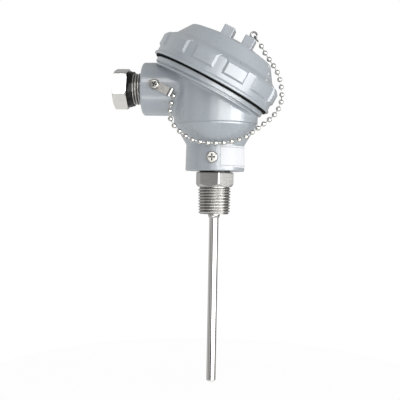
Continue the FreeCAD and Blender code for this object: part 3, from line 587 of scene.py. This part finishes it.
def make_fitting(material, thread_material):
    """Hexagon with a helical taper thread below, welded round the sheath, and its neck thread above."""
    bm = bmesh.new()
    bore_r = SHEATH_R + GAP
    tip = -THREAD_LENGTH
    root_low = THREAD_MAJOR_R + tip * THREAD_TAPER - THREAD_DEPTH
    root_high = THREAD_MAJOR_R + THREAD_TOP * THREAD_TAPER - THREAD_DEPTH
    thread(bm, tip, THREAD_TOP, lambda height: THREAD_MAJOR_R + height * THREAD_TAPER,
           THREAD_DEPTH, THREAD_TIP_FADE)
    weld = [
        ring(bm, even(WELD_R - (WELD_R - bore_r) * share ** 2, tip - WELD_LENGTH * share))
        for share in WELD_STEPS
    ]
    skin(bm, weld + [ring(bm, even(root_low, tip))])
    hexagon = hexagon_rings(bm, HEX_FLATS, 0, HEX_HEIGHT, HEX_TURN, HEX_BOTTOM_CHAMFER,
                            HEX_TOP_CHAMFER / HEX_TOP_SLOPE)
    upper = [
        ring(bm, even(radius, height)) for radius, height in (
            (NECK_THREAD_R, HEX_HEIGHT),
            (NECK_THREAD_R, NECK_THREAD_TOP - NECK_THREAD_CHAMFER),
            (NECK_THREAD_R - NECK_THREAD_CHAMFER, NECK_THREAD_TOP),
            (COUNTERBORE_R, NECK_THREAD_TOP),
            (COUNTERBORE_R, COUNTERBORE_Z),
            (bore_r, COUNTERBORE_Z),
            (bore_r, tip - WELD_LENGTH),
        )
    ]
    run_out = [ring(bm, even(root_high, THREAD_TOP)), ring(bm, even(root_high, 0))]
    skin(bm, run_out + hexagon + upper)
    piece = finished(bm, "process_fitting_body")
    dress(piece, "housing", "process_fitting", material)
    dress_faces(piece, thread_material, lambda centre: tip < centre.z < 0)
    round_thread(piece, lambda place: tip + EDGE < place.z < THREAD_TOP - EDGE)


def entry_place():
    """From the entry axis's own frame, with +Z out of the boss, to the part's frame."""
    return Matrix.Translation((0, 0, ENTRY_Z * MM)) @ Matrix.Rotation(math.radians(-90), 4, "Y")


def make_gland(material, thread_material):
    """The hollow gland screw with its thread and hexagon."""
    bm = bmesh.new()
    outer = GLAND_HEX_START + GLAND_HEX_LENGTH
    root_r = GLAND_THREAD_R - GLAND_THREAD_DEPTH
    thread(bm, GLAND_INNER_END, GLAND_HEX_START, lambda height: GLAND_THREAD_R, GLAND_THREAD_DEPTH)
    hexagon = hexagon_rings(bm, GLAND_HEX_FLATS, GLAND_HEX_START, outer, GLAND_HEX_TURN,
                            GLAND_HEX_CHAMFER, GLAND_HEX_CHAMFER / HEX_TOP_SLOPE)
    mouth_r = GLAND_HOLE_R + GLAND_MOUTH_CHAMFER
    inside = [
        ring(bm, even(radius, height)) for radius, height in (
            (mouth_r, outer),
            (GLAND_HOLE_R, outer - GLAND_MOUTH_CHAMFER),
            (GLAND_HOLE_R, GLAND_INNER_END),
            (root_r, GLAND_INNER_END),
        )
    ]
    skin(bm, [ring(bm, even(root_r, GLAND_HEX_START))] + hexagon + inside)
    piece = finished(bm, "gland_screw", entry_place())
    dress(piece, "gland", "gland_nut", material)
    dress_faces(piece, thread_material, lambda centre: centre.x > -GLAND_HEX_START)
    round_thread(piece, lambda place: GLAND_INNER_END + EDGE < -place.x < GLAND_HEX_START - EDGE)


def squared(value):
    """Pushes a sine or cosine outwards, which flattens the sides of a round section."""
    return math.copysign(abs(value) ** SEAL_SQUARENESS, value)


def wrinkle(angle, share):
    """How far the sealing ring's outside stands proud, at an angle and a share of its section."""
    wave = math.sin(7 * angle + 5.0 * share) + 0.7 * math.sin(13 * angle - 9 * share + 1.3)
    fold = math.sin(4 * math.pi * share + 0.9 * math.sin(3 * angle) + 0.5 * math.sin(8 * angle))
    return SEAL_WAVE * wave + SEAL_FOLD * fold - SEAL_INSET


def make_gland_ring(material):
    """The rubber ring behind the hexagon, wrinkled where the screw has dragged it round."""
    bm = bmesh.new()
    end = GLAND_HEX_START - GAP
    middle, half = (SEAL_START + end) / 2, (end - SEAL_START) / 2
    middle_r, half_r = (SEAL_INNER_R + SEAL_OUTER_R) / 2, (SEAL_OUTER_R - SEAL_INNER_R) / 2
    rings = []
    for number in range(SEAL_SECTIONS):
        share = number / SEAL_SECTIONS
        along = squared(math.sin(2 * math.pi * share))
        out = squared(math.cos(2 * math.pi * share))
        points = []
        for angle in column_angles():
            radius = middle_r + out * half_r + max(0.0, out) * wrinkle(angle, share)
            height = middle + along * half * (0.93 + 0.05 * math.sin(5 * angle + 2))
            points.append((radius, height))
        rings.append(ring(bm, points))
    skin(bm, rings, closed=True)
    piece = finished(bm, "gland_seal_ring", entry_place(), sharp_degrees=60)
    dress(piece, "gland_seal", "gland_o_ring", material)


# Chain

def islands(bm):
    """The separate solids of a mesh, as lists of vertices."""
    left = set(bm.verts)
    found = []
    while left:
        start = left.pop()
        group, edge_of_group = [start], [start]
        while edge_of_group:
            vertex = edge_of_group.pop()
            for edge in vertex.link_edges:
                other = edge.other_vert(vertex)
                if other in left:
                    left.remove(other)
                    group.append(other)
                    edge_of_group.append(other)
        found.append(group)
    return found


def ball_centre(vertices):
    """The centre of the ball in one link, moved until the points near it lie a ball's radius away."""
    reach = 1.6 * BALL_R * MM
    centre = sum((vertex.co for vertex in vertices), Vector()) / len(vertices)
    for _ in range(BALL_FIT_ROUNDS):
        pull = Vector()
        near = [vertex.co for vertex in vertices if (vertex.co - centre).length < reach]
        for place in near:
            away = place - centre
            pull += away.normalized() * (away.length - BALL_R * MM)
        centre = centre + pull * (2 / len(near))
    return centre


def chain_centres():
    """The ball centres of the chain's solids in order, from the cap's ring to the tab."""
    bm = bmesh.new()
    bm.from_mesh(nodes["cap_chain"].data)
    bmesh.ops.remove_doubles(bm, verts=bm.verts, dist=MERGE_FINE * MM)
    balls = []
    narrowest_ball = 1.8 * BALL_R * MM
    for group in islands(bm):
        low = Vector(min(vertex.co[axis] for vertex in group) for axis in range(3))
        high = Vector(max(vertex.co[axis] for vertex in group) for axis in range(3))
        if min(high - low) > narrowest_ball:
            balls.append(ball_centre(group))
    bm.free()
    ring_low, ring_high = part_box("chain_ring")
    here = (ring_low + ring_high) / 2
    ordered = []
    while balls:
        here = min(balls, key=lambda ball: (ball - here).length)
        balls.remove(here)
        ordered.append(here)
    return ordered


def add_lathe(bm, profile, place, sides):
    """A closed turned form from (height, radius) points, placed by a matrix."""
    rings = []
    for height, radius in profile:
        points = []
        for number in range(sides):
            angle = 2 * math.pi * number / sides
            local = Vector((radius * math.cos(angle), radius * math.sin(angle), height)) * MM
            points.append(bm.verts.new(place @ local))
        rings.append(points)
    for lower, upper in zip(rings[:-1], rings[1:]):
        for number in range(sides):
            after = (number + 1) % sides
            bm.faces.new((lower[number], lower[after], upper[after], upper[number]))
    bm.faces.new(rings[0][::-1])
    bm.faces.new(rings[-1])


def facing(centre, direction):
    """A place whose own +Z points along a direction."""
    return Matrix.Translation(centre) @ direction.to_track_quat("Z", "Y").to_matrix().to_4x4()


def ball_profile():
    """A hollow ball's wall with its small lip at each pole, as (height, radius) points."""
    ball = []
    for number in range(BALL_BANDS + 1):
        angle = math.radians(-90 + BALL_OPEN + number * (180 - 2 * BALL_OPEN) / BALL_BANDS)
        ball.append((BALL_R * math.sin(angle), BALL_R * math.cos(angle)))
    pole = -BALL_R * LIP_PLACE
    lip = [(pole, LINK_R), (pole, LIP_R - LIP_EDGE_RUN), (pole + LIP_EDGE_RISE, LIP_R)]
    return lip + ball + [(-height, radius) for height, radius in reversed(lip)]


def add_link(bm, start, end):
    """The waisted pin between two balls."""
    run = end - start
    reach = run.length / MM / 2 - LINK_SINK * BALL_R
    waist_r = LINK_R * LINK_WAIST
    profile = [(-reach, LINK_R), (-0.4 * reach, waist_r), (0.4 * reach, waist_r), (reach, LINK_R)]
    add_lathe(bm, profile, facing((start + end) / 2, run.normalized()), LINK_SIDES)


def make_chain(material):
    """Stamped hollow balls on dumb-bell links, with a plain link to the cap's ring."""
    centres = chain_centres()
    bm = bmesh.new()
    profile = ball_profile()
    for number, centre in enumerate(centres):
        before = centres[max(0, number - 1)]
        after = centres[min(len(centres) - 1, number + 1)]
        add_lathe(bm, profile, facing(centre, (after - before).normalized()), BALL_SIDES)
    for start, end in zip(centres[:-1], centres[1:]):
        add_link(bm, start, end)
    ring_low, ring_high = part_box("chain_ring")
    ring_middle = (ring_low + ring_high) / 2
    outward = (centres[0] - ring_middle).normalized()
    first = ring_middle + outward * (RING_R + RING_WIRE_R + GAP) * MM
    run = centres[0] - first
    plain = [(0, LINK_R), (run.length / MM, LINK_R)]
    add_lathe(bm, plain, facing(first, run.normalized()), LINK_SIDES)
    piece = finished(bm, "cap_chain_balls", sharp_degrees=35)
    piece.data.materials.append(material)
    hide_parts("cap_chain")
    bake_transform(piece)


# Studio

def make_camera():
    data = bpy.data.cameras.new("camera")
    data.lens = CAMERA_LENS
    data.sensor_width = SENSOR_WIDTH
    data.clip_start, data.clip_end = 0.05, 20
    camera = bpy.data.objects.new("camera", data)
    scene.collection.objects.link(camera)
    scene.camera = camera
    azimuth, down, roll = map(math.radians, (CAMERA_AZIMUTH, CAMERA_DOWN, CAMERA_ROLL))
    level = math.cos(down)
    forward = Vector((-math.sin(azimuth) * level, math.cos(azimuth) * level, -math.sin(down)))
    across = forward.cross(Vector((0, 0, 1))).normalized()
    upright = across.cross(forward)
    right = across * math.cos(roll) + upright * math.sin(roll)
    up = upright * math.cos(roll) - across * math.sin(roll)
    turn = Matrix((right, up, -forward)).transposed()
    camera.matrix_world = Matrix.Translation(CAMERA_PLACE) @ turn.to_4x4()


def add_light(name, azimuth, elevation, distance, size, power, gloss_only=False):
    """A softbox that faces the head. With gloss_only it shows in reflections and sheds no light."""
    data = bpy.data.lights.new(name, "AREA")
    data.shape = "RECTANGLE"
    data.size, data.size_y = size
    data.energy = power
    light = bpy.data.objects.new(name, data)
    scene.collection.objects.link(light)
    a, e = math.radians(azimuth), math.radians(elevation)
    away = Vector((math.sin(a) * math.cos(e), -math.cos(a) * math.cos(e), math.sin(e)))
    light.location = LIGHT_TARGET + away * distance
    light.rotation_mode = "QUATERNION"
    light.rotation_quaternion = away.to_track_quat("Z", "Y")
    light.visible_camera = False
    light.visible_diffuse = not gloss_only


def make_lights():
    """Softboxes that only show in gloss, at the right, ahead, above and below, and a soft fill."""
    for name, azimuth, elevation, size, power in (
        ("key_gloss", 44, -6, (1.60, 0.76), 21.5),
        ("front_gloss", 0, 3, (0.42, 0.90), 2.0),
        ("upper_gloss", -4, 32, (0.90, 0.36), 4.6),
        ("low_gloss", -4, -42, (0.90, 0.20), 1.9),
    ):
        add_light(name, azimuth, elevation, GLOSS_DISTANCE, size, power, gloss_only=True)
    add_light("fill", azimuth=65, elevation=5, distance=1.6, size=(1.2, 1.2), power=14)


def reflected_level(tree, direction):
    """How bright the studio looks in a reflection: by azimuth, and one level for what lies below."""
    ahead = math_step(tree, "MULTIPLY", direction["Y"], -1)
    azimuth = math_step(tree, "ARCTAN2", direction["X"], ahead)
    share = mapped(tree, azimuth, -math.pi, math.pi, 0.0, 1.0)
    stops = [((degrees + 180) / 360, (level,) * 3) for degrees, level in LEVEL_BY_AZIMUTH.items()]
    below = mapped(tree, direction["Z"], BELOW_START, BELOW_FULL, 0.0, 1.0)
    return mixed(tree, below, ramp(tree, share, stops), LEVEL_BELOW)


def make_world():
    """White to the camera, near a plain level for the light it sheds, a studio's greys in reflections."""
    world = bpy.data.worlds.new("studio")
    scene.world = world
    world.use_nodes = True
    tree = world.node_tree
    background = tree.nodes["Background"]
    path = tree.nodes.new("ShaderNodeLightPath").outputs
    direction = split_coordinates(tree, "Generated")
    around = mapped(tree, direction["Z"], -1.0, 1.0, SHED_BELOW, SHED_ABOVE)
    shed = mixed(tree, path["Is Glossy Ray"], around, reflected_level(tree, direction))
    seen = math_step(tree, "MAXIMUM", path["Is Camera Ray"], path["Is Transmission Ray"])
    feed(tree, background.inputs["Strength"], mixed(tree, seen, shed, 1.0))
    background.inputs["Color"].default_value = (1, 1, 1, 1)


def make_floor():
    """A round pale floor below the tip. It keeps a soft shadow, and metal doesn't mirror it."""
    bm = bmesh.new()
    bmesh.ops.create_circle(bm, cap_ends=True, segments=COLUMNS, radius=FLOOR_R)
    mesh = bpy.data.meshes.new("floor")
    bm.to_mesh(mesh)
    bm.free()
    floor = bpy.data.objects.new("floor", mesh)
    scene.collection.objects.link(floor)
    floor.location.z = solid_low.z - FLOOR_DROP
    floor.visible_glossy = False
    material = new_material("floor")
    tree = material.node_tree
    tree.nodes.clear()
    path = tree.nodes.new("ShaderNodeLightPath").outputs
    pale = add(tree, "ShaderNodeBsdfDiffuse", Color=(0.8, 0.8, 0.8, 1)).outputs["BSDF"]
    glow = add(tree, "ShaderNodeEmission", Strength=1.0).outputs["Emission"]
    shown = mixed_shaders(tree, FLOOR_GLOW, pale, glow)
    surface = mixed_shaders(tree, path["Is Camera Ray"], pale, shown)
    add(tree, "ShaderNodeOutputMaterial", Surface=surface)
    mesh.materials.append(material)


make_camera()
node_materials, piece_materials = make_materials()
dress_nodes(node_materials)
make_fitting(piece_materials["fitting"], piece_materials["fitting_thread"])
make_gland(piece_materials["gland"], piece_materials["gland_thread"])
make_gland_ring(piece_materials["gland_ring"])
make_chain(piece_materials["chain"])
make_lights()
make_world()
make_floor()
scene.view_settings.view_transform = "Standard"
